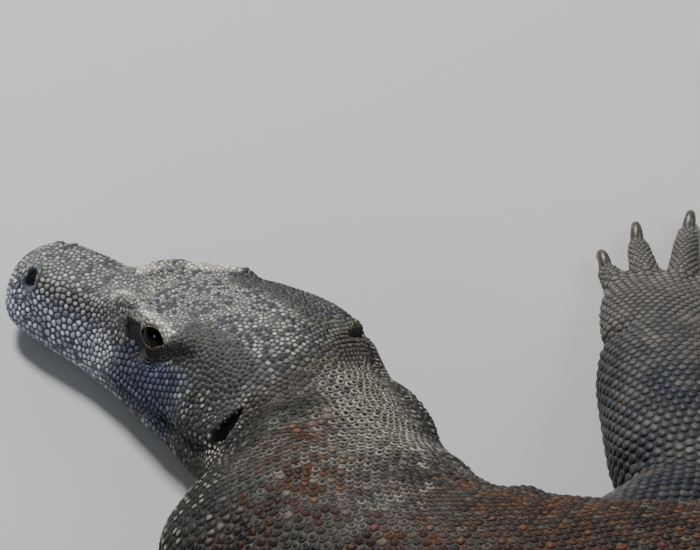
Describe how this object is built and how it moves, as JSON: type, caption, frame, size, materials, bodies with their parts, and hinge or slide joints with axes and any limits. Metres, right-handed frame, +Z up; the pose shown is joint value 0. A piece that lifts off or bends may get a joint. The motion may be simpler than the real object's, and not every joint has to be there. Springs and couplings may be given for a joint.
{
  "type": "komodo dragon",
  "caption": "Life-size still model of a komodo dragon lying on its belly, head turned aside, chin on the floor and one foreleg stretched out.",
  "frame": {"origin": "on the floor under the middle of the belly", "axes": "+X from the shoulders towards the tail, +Y to the animal's right, +Z up"},
  "size_m": [2.2558, 0.9695, 0.205],
  "materials": {
    "head_skin": "matt beige-grey scales with blue-grey specks",
    "body_skin": "dark glossy bead scales in tan and rust skin",
    "limb_skin": "charcoal-blue scales in rows, dusty on the toes",
    "eye": "wet, very dark brown",
    "claw": "worn dark horn"
  },
  "bodies": {
    "root": {"eye_left": "eye", "eye_right": "eye", "front_left_claw_1": "claw", "front_left_claw_2": "claw", "front_left_claw_3": "claw", "front_left_claw_4": "claw", "front_left_claw_5": "claw", "front_left_foot": "limb_skin", "front_left_lower_leg": "limb_skin", "front_left_upper_leg": "limb_skin", "front_right_claw_1": "claw", "front_right_claw_2": "claw", "front_right_claw_3": "claw", "front_right_claw_4": "claw", "front_right_claw_5": "claw", "front_right_foot": "limb_skin", "front_right_lower_leg": "limb_skin", "front_right_upper_leg": "limb_skin", "head": "head_skin", "hind_left_claw_1": "claw", "hind_left_claw_2": "claw", "hind_left_claw_3": "claw", "hind_left_claw_4": "claw", "hind_left_claw_5": "claw", "hind_left_foot": "limb_skin", "hind_left_lower_leg": "limb_skin", "hind_left_upper_leg": "limb_skin", "hind_right_claw_1": "claw", "hind_right_claw_2": "claw", "hind_right_claw_3": "claw", "hind_right_claw_4": "claw", "hind_right_claw_5": "claw", "hind_right_foot": "limb_skin", "hind_right_lower_leg": "limb_skin", "hind_right_upper_leg": "limb_skin", "hips": "body_skin", "lower_jaw": "head_skin", "neck": "body_skin", "shoulders": "body_skin", "tail_base": "body_skin", "tail_middle": "body_skin", "tail_tip": "body_skin", "trunk": "body_skin"}
  },
  "joints": []
}
